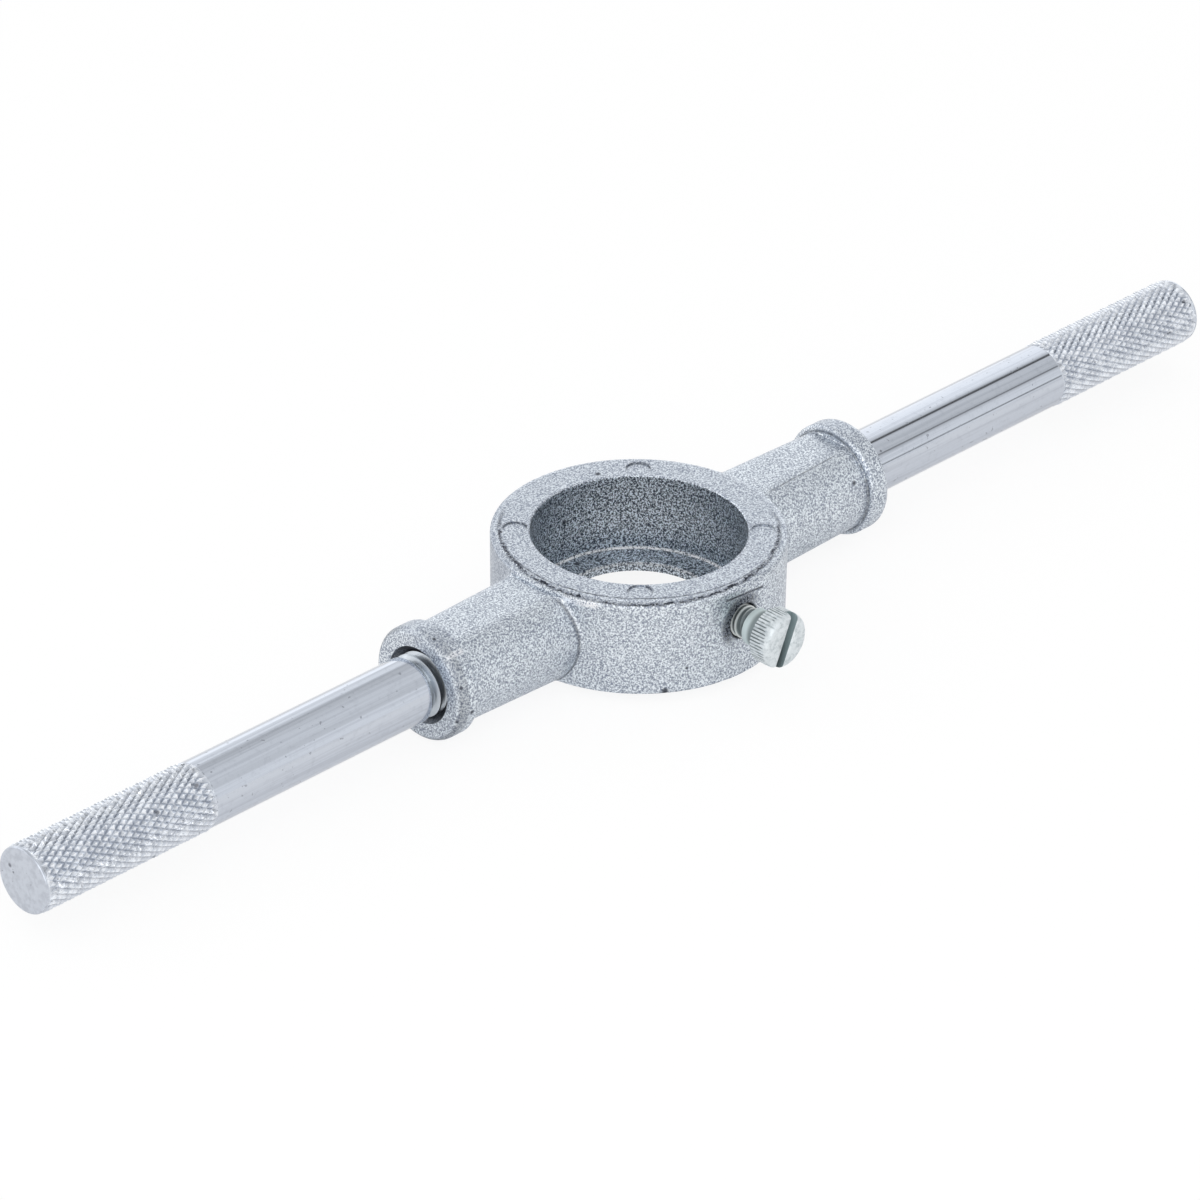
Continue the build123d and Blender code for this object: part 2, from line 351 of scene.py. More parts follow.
@dataclass(frozen=True)
class CastZinc:
    """Tumbled zinc casting: bright grains outside, darker in the pocket, painted shade at edges and
    creases, painted highlights in corners.

    Places and sizes are in millimetres. A Step is where a smooth step starts and ends.
    """

    bright: Colour = (0.91, 0.96, 1.0)
    dull: Colour = (0.235, 0.265, 0.335)
    pocket_bright: Colour = (0.86, 0.93, 1.0)
    pocket_dull: Colour = (0.075, 0.088, 0.112)
    # Colour of the painted shade, and of the pits and stains of the flaws.
    shade_and_flaws: Colour = (0.045, 0.05, 0.065)
    # Colour of the painted highlights in the pocket's corners and beside the left sleeve.
    glint: Colour = (0.97, 0.98, 1.0)
    # Painted shade: how far the top face and the left back flank are darkened towards the dull
    # colour.
    face_shade: float = 0.20
    flank_shade: float = 0.38
    cloud_share: float = 0.12
    soft_speckle: Step = (0.42, 0.58)
    hard_speckle: Step = (0.46, 0.56)
    grain_per_mm: float = 2.9
    fine_per_mm: float = 5.6
    cloud_per_mm: float = 0.16
    wander_per_mm: float = 0.8
    grain_depth: float = 0.08
    roughness: float = 0.34
    pocket_radius: float = 19.05
    pocket_top: float = 9.3
    pocket_floor: float = -5.3
    passage_radius: float = 13.7
    face_height: float = 9.4
    flank_reach: Step = (29.0, 33.0)
    wall_reach: Step = (26.1, 26.4)
    line_side_radius: float = 24.45
    line_front_radius: float = 25.7
    line_width: Step = (0.14, 0.42)
    faint_line_radius: float = 24.2
    faint_line_width: float = 0.32
    gleam_height: float = 8.35
    gleam_start: Step = (-13.0, -12.0)
    gleam_end: Step = (-7.0, -6.0)
    crease_start: Step = (26.05, 26.35)
    crease_end: Step = (26.35, 27.1)
    socket_depth: Step = (30.0, 31.0)
    mouth_radius: float = 7.0
    collar_place: float = 48.9
    collar_line_radius: float = 9.4
    collar_edge_radius: float = 10.2
    flat_start: Step = (27.0, 28.0)
    flat_end: Step = (44.0, 46.0)
    flat_edge: float = 6.4
    flat_taper: float = 0.048
    mark_circle: float = 21.6
    mark_radius: float = 2.15
    screw_height: float = 1.7
    screw_seat: float = 25.6
    screw_hole: Step = (3.1, 3.5)
    halo: Step = (4.4, 5.8)
    seat_top: float = 7.05
    seat_lean: float = 0.077
    seat_half_width: float = 4.8
    flaws: tuple[Flaw, ...] = (
        Flaw((-52.5, -3.0, 10.0), 0.45),
        Flaw((-52.7, -9.8, 3.3), 0.55),
        Flaw((-50.6, -10.3, -2.1), 0.6),
        Flaw((-53.2, -9.3, -3.4), 0.5),
        Flaw((-14.8, -21.2, -8.2), 0.9),
        Flaw((-11.5, -23.1, -4.1), 0.4),
        Flaw((0.6, 19.0, 2.6), 0.8),
        Flaw((0.2, 19.0, -1.9), 0.6),
        Flaw((1.6, 16.9, -5.3), 0.6),
        Flaw((8.7, 18.8, 9.4), 0.7),
        Flaw((46.0, -8.4, 4.0), 0.6),
    )

    def material(self) -> bpy.types.Material:
        """Makes the casting's material.

        Returns:
            The material.
        """
        graph = SurfaceGraph("cast_zinc", {})
        at = graph.surface_point()
        radius = at.x.span(at.y)
        grain = graph.noise(at.vector, self.grain_per_mm, 1.0, 0.5)
        wander = graph.noise(at.vector, self.wander_per_mm, 2.0, 0.6)
        fine = graph.noise(at.vector, self.fine_per_mm, 1.0, 0.5)
        cloud = graph.noise(at.vector, self.cloud_per_mm, 2.0, 0.5)
        both = 0.5 * grain + 0.5 * fine
        speckle = (1.0 - self.cloud_share) * both.rise(*self.soft_speckle)
        speckle = speckle + self.cloud_share * cloud
        # Painted shade darkens the top face and the left back flank.
        face = at.z.rise(self.face_height - 0.4, self.face_height - 0.2)
        flank = (at.y - at.x).rise(*self.flank_reach) * radius.fall(*self.wall_reach) * (1.0 - face)
        shade = self.face_shade * face + self.flank_shade * flank
        outside = graph.mix(shade, graph.mix(speckle, self.dull, self.bright), self.dull)
        # Darker tone with harder speckle inside the pocket.
        inside = graph.mix(both.rise(*self.hard_speckle), self.pocket_dull, self.pocket_bright)
        in_pocket = radius.fall(self.pocket_radius + 0.05, self.pocket_radius + 0.25)
        in_pocket = in_pocket * at.z.fall(self.pocket_top - 0.2, self.pocket_top + 0.05)
        ragged = 0.2 + 0.8 * (0.5 * grain + 0.5 * wander).rise(0.42, 0.54)
        jag = 1.5 * (wander - 0.5) + 0.8 * (grain - 0.5)
        # Painted shade: lines at the top face's edge and the ejector marks, then at the sleeves and
        # the screw's seat; the flaws add pits and stains.
        shade_and_flaws = ragged * self._edge_lines(at, radius, jag).most(self._mark_lines(at, jag))
        shade_and_flaws = shade_and_flaws.most(self._sleeve_shade(at, radius, ragged)).most(self._screw_shade(at, grain))
        for flaw in self.flaws:
            shade_and_flaws = shade_and_flaws.most(0.9 * graph.near_point(at.vector, flaw.centre, flaw.size))
        # Painted highlights: broken white lines at the foot of the pocket's wall and at the
        # passage's lip, matte there, and the gleam beside the left sleeve.
        rise = at.z - self.pocket_floor
        foot = (radius - self.pocket_radius).span(rise).fall(0.2, 0.5) * grain.rise(0.34, 0.48)
        lip = (radius - self.passage_radius).span(rise).fall(0.25, 0.55) * grain.rise(0.45, 0.55)
        corner, gleam = foot.most(0.8 * lip), self._gleam(at, grain)
        colour = graph.mix(shade_and_flaws, graph.mix(in_pocket, outside, inside), self.shade_and_flaws)
        graph.feed("Base Color", graph.mix(corner.most(gleam), colour, self.glint))
        graph.feed("Metallic", 1.0 - 0.9 * corner)
        graph.feed("Roughness", self.roughness + 0.14 * fine + 0.15 * shade_and_flaws - 0.25 * gleam)
        graph.bump(0.55 * grain + 0.45 * fine - 0.8 * shade_and_flaws, self.grain_depth, 0.9)
        return graph.material

    def _edge_lines(self, at: SurfacePoint, radius: Signal, jag: Signal) -> Signal:
        """Finds the two painted shade lines round the top face, the outer one bulging to the front.

        Args:
            at: the surface point.
            radius: its distance from the pocket's axis.
            jag: how far the lines stray, in millimetres.

        Returns:
            A number from 0 to 1.
        """
        on_face = at.z.rise(self.face_height - 0.8, self.face_height - 0.6)
        facing = -(at.x + at.y) / (math.sqrt(2) * radius)
        bulge = (self.line_front_radius - self.line_side_radius) * facing.most(0.0) ** 2.5
        outer = abs(radius - self.line_side_radius - bulge + jag).fall(*self.line_width)
        inner = (radius + 0.6 * jag).near(self.faint_line_radius, self.faint_line_width)
        lines = (outer * facing.rise(-0.4, 0.1)).most(0.85 * inner * facing.rise(0.0, 0.3))
        return lines * on_face

    def _mark_lines(self, at: SurfacePoint, jag: Signal) -> Signal:
        """Finds painted shade on the edges of the four ejector marks, darkest behind and fainter on
        the right.

        Args:
            at: the surface point.
            jag: how far the lines stray, in millimetres.

        Returns:
            A number from 0 to 1.
        """
        spread = self.mark_circle * math.sqrt(0.5)
        side = at.x - at.x.maths("SIGN") * spread
        ahead = at.y - at.y.maths("SIGN") * spread
        off = (side.span(ahead) - self.mark_radius + jag).span(at.z - self.face_height)
        fade = 0.25 + 0.75 * (side + ahead).rise(-1.5, 1.5)
        return off.fall(0.0, 0.4) * fade * (1.0 - 0.5 * (at.x - at.y).rise(18.0, 24.0))

    def _sleeve_shade(self, at: SurfacePoint, radius: Signal, ragged: Signal) -> Signal:
        """Share of painted shade in the sockets, at the collars, in the left crease and on the
        right flat.

        Args:
            at: the surface point.
            radius: its distance from the pocket's axis.
            ragged: strength of the lines, which varies along them.

        Returns:
            A number from 0 to 1.
        """
        off_axis = at.y.span(at.z)
        # Painted shade lines at the collars' steps and along the right flat's edge.
        collar = (off_axis - self.collar_line_radius).span(abs(at.x) - self.collar_place)
        flat = (at.y + self.flat_edge - self.flat_taper * at.x).near(0.0, 0.3)
        flat = flat * at.x.between(self.flat_start, self.flat_end) * at.z.rise(7.0, 7.5)
        lines = ragged * (0.7 * collar.fall(0.0, 0.5)).most(0.55 * flat)
        # Painted shade in the sockets' mouths.
        mouth = off_axis.fall(self.mouth_radius, self.mouth_radius + 0.15)
        mouth = mouth * abs(at.x).rise(*self.socket_depth)
        mouth = mouth * (0.7 + 0.28 * (at.z - at.y).rise(-2.0, 3.0))
        # Painted shade on the left crease and the left collar's rim, over their highlights.
        crease = radius.between(self.crease_start, self.crease_end) * at.y.fall(-6.0, -5.0)
        rim = off_axis.near(self.collar_edge_radius, 0.7) * at.x.fall(-51.5, -51.0)
        worn_and_shaded = (0.6 * crease).most(0.45 * rim) * at.x.fall(-1.0, 0.0) * at.z.fall(8.0, 11.0)
        return lines.most(mouth).most(worn_and_shaded)

    def _gleam(self, at: SurfacePoint, grain: Signal) -> Signal:
        """1 on the painted highlight under the ring's edge beside the left sleeve, which is also
        less rough.
        """
        reach = at.y.between(self.gleam_start, self.gleam_end) * at.x.fall(-20.0, -19.0)
        return reach * (1.7 * at.z.near(self.gleam_height, 0.8)).least(1.0) * grain.rise(0.35, 0.5)

    def _screw_shade(self, at: SurfacePoint, grain: Signal) -> Signal:
        """Share of painted shade on the clamp screw's seat: a halo round the hole and its top edge.

        Args:
            at: the surface point.
            grain: the casting's grain, which breaks the painted shade up.

        Returns:
            A number from 0 to 1.
        """
        height, out = at.z - self.screw_height, -at.y
        off_axis = at.x.span(height)
        ragged = grain.rise(0.44, 0.54)
        # Painted shade: a halo round the hole, darkest up and to the left, and a dark ring at its
        # edge.
        halo = off_axis.fall(*self.halo) * (0.1 + 0.9 * (height - at.x).rise(-2.0, 3.5))
        shade_and_flaws = (halo * (0.3 + 0.7 * ragged)).most(off_axis.fall(*self.screw_hole))
        # Painted shade along the seat's top edge.
        top = (at.z + self.seat_lean * at.x).near(self.seat_top, 0.44) * (0.6 + 0.4 * ragged)
        top = top * abs(at.x).fall(self.seat_half_width - 0.4, self.seat_half_width)
        on_wall = out.rise(self.screw_seat - 3.0, self.screw_seat)
        return (shade_and_flaws * on_wall).most(top * out.rise(self.screw_seat - 0.6, self.screw_seat - 0.3))


@dataclass(frozen=True)
class Chrome:
    """Chrome on a turned rod: long faint polishing streaks, a blotchy end, and a knurl with painted
    highlights and painted shade.
    """

    base: Colour = (0.60, 0.635, 0.70)
    worn_and_shaded: Colour = (0.50, 0.53, 0.59)
    spot: Colour = (0.20, 0.21, 0.24)
    thread_tone: Colour = (0.60, 0.64, 0.68)
    knurl_tone: Colour = (0.90, 0.93, 0.98)
    valley_tone: Colour = (0.16, 0.17, 0.20)
    tip_tone: Colour = (0.95, 0.97, 1.0)
    shine: float = 0.05
    satin: float = 0.12
    end_satin: float = 0.26
    valley_depth: Step = (0.25, 0.02)
    tip_height: Step = (0.02, 0.16)
    underside: Step = (-4.5, -0.5)
    flaws: tuple[Flaw, ...] = (
        Flaw((57.6, -4.15, 4.33), 0.35),
        Flaw((-142.5, 3.2, 1.6), 0.55),
        Flaw((-142.5, 2.4, 0.6), 0.3),
        Flaw((140.4, -4.2, 4.1), 0.6),
        Flaw((141.3, -4.9, 3.4), 0.5),
        Flaw((134.7, -6.0, 0.4), 0.5),
        Flaw((-107.6, -3.6, 4.9), 0.7),
        Flaw((-117.0, -4.4, 4.0), 0.6),
    )

    def material(self, handle: "Handle") -> bpy.types.Material:
        """Makes the chrome material.

        Args:
            handle: either handle, as both have the same sizes.

        Returns:
            The material.
        """
        graph = SurfaceGraph("chrome_plate", {"Metallic": 1.0})
        at = graph.surface_point()
        along, radius = abs(at.x), at.y.span(at.z)
        streaks = graph.noise(graph.stretched(at.vector, (0.02, 1.6, 1.6)), 1.0, 3.0, 0.6)
        spots = graph.noise(at.vector, 0.9, 2.0, 0.6)
        specks = graph.noise(at.vector, 1.3, 0.0, 0.5)
        flash = graph.noise(at.vector, 0.8, 2.0, 0.6).rise(0.48, 0.58)
        crumple = graph.noise(at.vector, 2.4, 1.0, 0.5)
        plain = along.fall(handle.knurl.start - 0.2, handle.knurl.start + 0.2)
        thread = along.fall(handle.shoulder - 0.5, handle.shoulder + 0.1)
        end = along.rise(handle.end - 0.6, handle.end - 0.2)
        wear = 0.8 * streaks.rise(0.42, 0.66) * plain + 0.5 * spots.rise(0.5, 0.8)
        wear = (wear + 0.6 * end * spots.rise(0.4, 0.6)).least(1.0)
        deep, shallow = self.valley_depth
        low, high = self.tip_height
        knurl = (1.0 - plain) * (1.0 - end)
        valley = knurl * radius.fall(handle.rod_radius - deep, handle.rod_radius - shallow)
        tip = knurl * radius.rise(handle.rod_radius + low, handle.rod_radius + high)
        under = at.z.fall(*self.underside)
        # Painted highlights: flashes on the knurl, weaker on its underside, which gets painted
        # shade.
        lit = knurl * (0.2 + 0.8 * flash) * (1.0 - 0.75 * under)
        dark = specks.rise(0.79, 0.83) * 0.5
        for flaw in self.flaws:
            dark = dark.most(0.9 * graph.near_point(at.vector, flaw.centre, flaw.size))
        colour = graph.mix(thread, graph.mix(wear, self.base, self.worn_and_shaded), self.thread_tone)
        # Painted highlights on the knurl and its tips, and painted shade in its valleys, all darker
        # underneath.
        colour = graph.mix(lit, colour, self.knurl_tone)
        colour = graph.mix(tip * (0.9 - 0.5 * under), colour, self.tip_tone)
        colour = graph.mix(valley * (0.3 + 0.2 * under), colour, self.valley_tone)
        graph.feed("Base Color", graph.mix(dark, colour, self.spot))
        rough = self.satin - (self.satin - self.shine) * plain + (self.end_satin - self.satin) * end
        graph.feed("Roughness", rough + 0.05 * spots + 0.25 * thread + 0.3 * dark)
        graph.bump(streaks - 2.0 * dark + (8.0 * knurl + 6.0 * thread) * crumple, 0.03, 0.14)
        return graph.material


@dataclass(frozen=True)
class ZincPlate:
    """Bright zinc plate on the clamp screw, faintly green, with painted shade in its slot, flutes,
    thread roots and by the head.
    """

    head: Colour = (0.78, 0.82, 0.84)
    head_worn: Colour = (0.56, 0.61, 0.63)
    neck: Colour = (0.74, 0.82, 0.81)
    groove_shade: Colour = (0.16, 0.19, 0.20)
    slot: Colour = (0.25, 0.33, 0.35)
    thread_tone: Colour = (0.78, 0.81, 0.80)
    roughness: float = 0.50

    def material(self, screw: "ClampScrew") -> bpy.types.Material:
        """Makes the screw's material.

        Args:
            screw: the clamp screw, which gives the places of the tones.

        Returns:
            The material.
        """
        graph = SurfaceGraph("zinc_plate", {})
        at = graph.surface_point()
        out, height = -at.y, at.z - screw.axis_height
        off_axis = at.x.span(height)
        blotch = graph.noise(at.vector, 1.3, 3.0, 0.6)
        turned = graph.noise(graph.stretched(at.vector, (0.4, 5.0, 0.4)), 1.0, 2.0, 0.5)
        turn, half = math.radians(screw.slot_turn), screw.slot_width / 2
        floor = screw.head_end - screw.slot_depth
        across = abs(at.x * math.cos(turn) + height * math.sin(turn))
        in_slot = across.fall(half, half + 0.06) * out.rise(floor - 0.2, floor - 0.1)
        streak = graph.noise(graph.stretched(at.vector, (1.3, 0.3, 1.3)), 1.0, 2.0, 0.6)
        reach = (out + 5.0 * (streak - 0.5)).fall(screw.crown_start, screw.crown_start + 0.5)
        rim = off_axis.rise(screw.head_radius - 0.78, screw.head_radius - 0.58)
        wave = (graph.maths("ARCTAN2", height, at.x) * float(screw.flutes)).maths("COSINE")
        # Painted shade in the flutes, reaching into the crown with ragged ends.
        flutes = wave.fall(-0.9, 0.2) * rim * reach * (0.3 + 0.7 * streak.rise(0.36, 0.52))
        # Painted shade on the neck beside the head.
        shade = off_axis.fall(screw.neck_radius + 0.05, screw.neck_radius + 0.1)
        shade = shade * out.rise(screw.head_start - 2.4, screw.head_start - 1.4)
        shade = shade * out.fall(screw.head_start + 0.1, screw.head_start + 0.2)
        # Painted shade in the thread's roots.
        root = off_axis.fall(screw.thread_root + 0.19, screw.thread_crest - 0.1)
        root = root * out.fall(screw.neck_start - 0.2, screw.neck_start - 0.1)
        groove_shade = flutes.most(0.8 * shade).most(root)
        colour = graph.mix(blotch.rise(0.4, 0.75), self.head, self.head_worn)
        colour = graph.mix(out.fall(screw.head_start - 0.1, screw.head_start), colour, self.neck)
        thread = out.fall(screw.neck_start - 0.9, screw.neck_start)
        colour = graph.mix(thread, colour, self.thread_tone)
        colour = graph.mix(0.92 * groove_shade, colour, self.groove_shade)
        # Painted shade in the slot: matte dark grey, not metal.
        graph.feed("Base Color", graph.mix(in_slot, colour, self.slot))
        graph.feed("Metallic", 1.0 - in_slot)
        graph.feed("Roughness", self.roughness + 0.14 * blotch + 0.2 * in_slot)
        graph.bump(0.5 * turned + 0.5 * blotch, 0.03, 0.4)
        return graph.material


# Meshes


class MeshSketch:
    """Points and faces of one turned piece along +X, in millimetres."""

    def __init__(self) -> None:
        """Starts empty."""
        self.points: list[Point] = []
        self.faces: list[tuple[int, ...]] = []

    def add(self, x: float, radius: float, angle: float) -> int:
        """Adds a point at a radius and an angle round the X axis and returns its number."""
        self.points.append((x, radius * math.cos(angle), radius * math.sin(angle)))
        return len(self.points) - 1

    def ring(self, x: float, radii: list[float]) -> list[int]:
        """Adds a ring of points with one radius for each."""
        step = 2 * math.pi / len(radii)
        return [self.add(x, radius, step * index) for index, radius in enumerate(radii)]

    def bridge(self, first: list[int], second: list[int]) -> None:
        """Joins two rings of as many points with four-sided faces.

        Args:
            first: the ring at the smaller x.
            second: the ring at the larger x.
        """
        for index, here in enumerate(first):
            after = (index + 1) % len(first)
            self.faces.append((here, first[after], second[after], second[index]))

    def lathe(self, start: list[int], outline: list[tuple[float, float]]) -> list[int]:
        """Carries a ring along an outline.

        Args:
            start: the ring it starts from.
            outline: (x, radius) of each further ring.

        Returns:
            The last ring.
        """
        for x, radius in outline:
            after = self.ring(x, [radius] * len(start))
            self.bridge(start, after)
            start = after
        return start

    def close(self, ring: list[int], x: float, outwards: bool) -> None:
        """Closes a ring with a fan to a point on the axis.

        Args:
            ring: the ring to close.
            x: the point's place on the axis.
            outwards: whether the end faces +X.
        """
        tip = self.add(x, 0.0, 0.0)
        for index, here in enumerate(ring):
            after = ring[(index + 1) % len(ring)]
            self.faces.append((here, after, tip) if outwards else (after, here, tip))

    def build(
        self, name: str, material: bpy.types.Material, crease_degrees: float
    ) -> bpy.types.Object:
        """Makes the Blender object, smooth but for its sharp edges.

        Args:
            name: the object's name.
            material: its material.
            crease_degrees: edges bent more than this stay sharp.

        Returns:
            The object, in metres.
        """
        mesh = bpy.data.meshes.new(name)
        points = [tuple(value * MM for value in point) for point in self.points]
        mesh.from_pydata(points, [], self.faces)
        work = bmesh.new()
        work.from_mesh(mesh)
        bmesh.ops.remove_doubles(work, verts=work.verts, dist=MERGE_DISTANCE * MM)
        bmesh.ops.recalc_face_normals(work, faces=work.faces)
        for face in work.faces:
            face.smooth = True
        limit = math.radians(crease_degrees)
        for edge in work.edges:
            edge.smooth = len(edge.link_faces) == 2 and edge.calc_face_angle(0.0) < limit
        work.to_mesh(mesh)
        work.free()
        mesh.materials.append(material)
        made = bpy.data.objects.new(name, mesh)
        bpy.context.scene.collection.objects.link(made)
        return made


@dataclass
class HelicalThread:
    """External thread along +X, with its lead-in at the start and its run-out at the end.

    The profile gives each corner's place, as a share of the pitch, and whether it is a crest.
    """

    start: float
    end: float
    pitch: float
    crest_radius: float
    root_radius: float
    start_radius: float
    end_radius: float
    segments: int
    profile: tuple[tuple[float, bool], ...] = (
        (0.0, False), (0.22, False), (0.5, True), (0.7, True),
    )

    def radius(self, x: float, is_crest: bool) -> float:
        """Radius of a thread point, limited by the lead-in and the run-out."""
        plain = self.crest_radius if is_crest else self.root_radius
        return min(plain, self.start_radius + x - self.start, self.end_radius + self.end - x)

    def add_to(self, sketch: MeshSketch) -> tuple[list[int], list[int]]:
        """Adds the thread's surface.

        Args:
            sketch: the mesh that gets it.

        Returns:
            The rings at its start and its end.
        """
        turns = math.ceil((self.end - self.start) / self.pitch) + 2
        rows = []
        for turn in range(turns + 1):
            for share, is_crest in self.profile:
                row = []
                for index in range(self.segments):
                    x = self.start + self.pitch * (turn - 1 + share + index / self.segments)
                    angle = 2 * math.pi * index / self.segments
                    if x <= self.start:
                        row.append(sketch.add(self.start, self.start_radius, angle))
                    elif x >= self.end:
                        row.append(sketch.add(self.end, self.end_radius, angle))
                    else:
                        row.append(sketch.add(x, self.radius(x, is_crest), angle))
                rows.append(row)
        per_turn = len(self.profile)
        for number in range(len(rows) - 1):
            here, after = rows[number], rows[number + 1]
            for index in range(self.segments - 1):
                sketch.faces.append((here[index], here[index + 1], after[index + 1], after[index]))
            if number + per_turn + 1 < len(rows):
                wrap, wrap_after = rows[number + per_turn], rows[number + per_turn + 1]
                sketch.faces.append((here[-1], wrap[0], wrap_after[0], after[-1]))
        first = sketch.ring(self.start, [self.start_radius] * self.segments)
        last = sketch.ring(self.end, [self.end_radius] * self.segments)
        return first, last


@dataclass
class DiamondKnurl:
    """Two crossing sets of grooves rolled round a rod, with small worn tips on the diamonds."""

    start: float = 105.0
    end: float = 142.0
    rod_radius: float = 6.0
    crest_radius: float = 6.23
    valley_radius: float = 5.72
    starts: int = 30
    rows: int = 32
    tip_share: float = 0.12
    unevenness: float = 0.07
    seed: int = 7

    def add_to(self, sketch: MeshSketch) -> tuple[list[int], list[int]]:
        """Adds the knurled surface.

        Args:
            sketch: the mesh that gets it.

        Returns:
            The rings of lattice points at its start and its end, two for each start.
        """
        chance = random.Random(self.seed)
        rise = (self.end - self.start) / self.rows
        steps = 2 * self.starts
        lattice: dict[tuple[int, int], int] = {}
        for row in range(self.rows + 1):
            at_end = row in (0, self.rows)
            for step in range(steps):
                if at_end or (row + step) % 2 == 0:
                    radius = self.rod_radius if at_end else self.valley_radius
                    lattice[row, step] = sketch.add(
                        self.start + rise * row, radius, math.pi * step / self.starts
                    )
        for row in range(self.rows + 1):
            for step in range(steps):
                if (row + step) % 2 == 1:
                    self._diamond(sketch, lattice, row, step, chance)
        first = [lattice[0, step] for step in range(steps)]
        last = [lattice[self.rows, step] for step in range(steps)]
        return first, last

    def _diamond(
        self,
        sketch: MeshSketch,
        lattice: dict[tuple[int, int], int],
        row: int,
        step: int,
        chance: random.Random,
    ) -> None:
        """Adds one diamond, or half of one where the knurl starts and ends.

        Args:
            sketch: the mesh that gets it.
            lattice: numbers of the points between the diamonds.
            row: the diamond's row.
            step: the diamond's place round the rod.
            chance: source of its small unevenness.
        """
        steps = 2 * self.starts
        west, east = (row, (step - 1) % steps), (row, (step + 1) % steps)
        if row == 0:
            half = (west, (row, step), east, (1, step))
            sketch.faces.append(tuple(lattice[corner] for corner in half))
            return
        if row == self.rows:
            half = (east, (row, step), west, (row - 1, step))
            sketch.faces.append(tuple(lattice[corner] for corner in half))
            return
        corners = [lattice[west], lattice[row - 1, step], lattice[east], lattice[row + 1, step]]
        rise = (self.end - self.start) / self.rows
        turn = math.pi / self.starts
        crest = self.crest_radius - self.unevenness * chance.random()
        lean = [chance.uniform(-0.5, 0.5) * self.unevenness for _ in range(2)]
        ways = ((0.0, -turn), (-rise, 0.0), (0.0, turn), (rise, 0.0))
        tip = []
        for (along, around), tilt in zip(ways, (lean[0], lean[1], -lean[0], -lean[1])):
            x = self.start + rise * row + self.tip_share * along
            radius = min(crest + tilt, self.crest_radius)
            angle = math.pi * step / self.starts + self.tip_share * around
            tip.append(sketch.add(x, radius, angle))
        sketch.bridge(corners, tip)
        sketch.faces.append(tuple(tip))


# Sub-assemblies


@dataclass
class Casting:
    """The stock's casting, which keeps its CAD node."""

    node: str = "stock_body"
    finish: CastZinc = field(default_factory=CastZinc)

    def build(self) -> bpy.types.Object:
        """Dresses the CAD node.

        Returns:
            The node's object.
        """
        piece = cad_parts[self.node]
        material = self.finish.material()
        piece.data.materials.clear()
        piece.data.materials.append(material)
        return piece


@dataclass
class Handle:
    """One handle: threaded end, relief, polished shank, diamond knurl and flat end."""

    side: Side
    node: str
    body: str
    rod_radius: float = 6.0
    thread_start: float = 31.5
    thread_end: float = 54.8
    thread_pitch: float = 1.75
    thread_crest: float = 5.85
    thread_root: float = 4.88
    thread_drop: float = 0.03
    relief_radius: float = 5.1
    shoulder: float = 55.5
    shoulder_chamfer: float = 0.4
    knurl_lead: float = 1.0
    end: float = 142.5
    end_round: float = 0.35
    segments: int = 120
    crease_degrees: float = 24.0
    knurl: DiamondKnurl = field(default_factory=DiamondKnurl)

    def build(self, material: bpy.types.Material) -> bpy.types.Object:
        """Builds the handle in the place of its CAD node.

        Args:
            material: the chrome.

        Returns:
            The handle's object.
        """
        sketch = MeshSketch()
        thread = HelicalThread(
            self.thread_start, self.thread_end, self.thread_pitch, self.thread_crest,
            self.thread_root, self.thread_root - self.thread_drop, self.relief_radius,
            self.segments,
        )
        first, last = thread.add_to(sketch)
        sketch.close(first, self.thread_start, outwards=False)
        shank = sketch.lathe(
            last,
            [
                (self.shoulder, self.relief_radius),
                (self.shoulder, self.rod_radius - self.shoulder_chamfer),
                (self.shoulder + self.shoulder_chamfer, self.rod_radius),
                (self.knurl.start - self.knurl_lead, self.rod_radius),
                (self.knurl.start, self.rod_radius),
            ],
        )
        knurl_first, knurl_last = self.knurl.add_to(sketch)
        self._join(sketch, shank, knurl_first)
        outer = sketch.ring(self.knurl.end, [self.rod_radius] * self.segments)
        self._join(sketch, outer, knurl_last)
        sketch.close(sketch.lathe(outer, self._end_outline()), self.end, outwards=True)
        turn = math.radians(self.side.value)
        sketch.points = [
            (x * math.cos(turn) - y * math.sin(turn), x * math.sin(turn) + y * math.cos(turn), z)
            for x, y, z in sketch.points
        ]
        piece = sketch.build(f"{self.node}_turned", material, self.crease_degrees)
        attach(piece, self.body)
        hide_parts(self.node)
        return piece

    @staticmethod
    def _join(sketch: MeshSketch, fine: list[int], coarse: list[int]) -> None:
        """Closes the slivers between a fine ring and a knurl's ring on the same circle.

        Args:
            sketch: the mesh that gets the faces.
            fine: the fine ring, with two points for each of the knurl's.
            coarse: the knurl's ring.
        """
        for index, here in enumerate(coarse):
            after = coarse[(index + 1) % len(coarse)]
            middle = fine[(2 * index + 1) % len(fine)]
            sketch.faces.append((here, middle, after))

    def _end_outline(self) -> list[tuple[float, float]]:
        """Works out the rounded edge of the end.

        Returns:
            (x, radius) of each ring.
        """
        steps = 6
        angles = [math.pi / 2 * step / steps for step in range(steps + 1)]
        start, inner = self.end - self.end_round, self.rod_radius - self.end_round
        return [
            (start + self.end_round * math.sin(angle), inner + self.end_round * math.cos(angle))
            for angle in angles
        ]


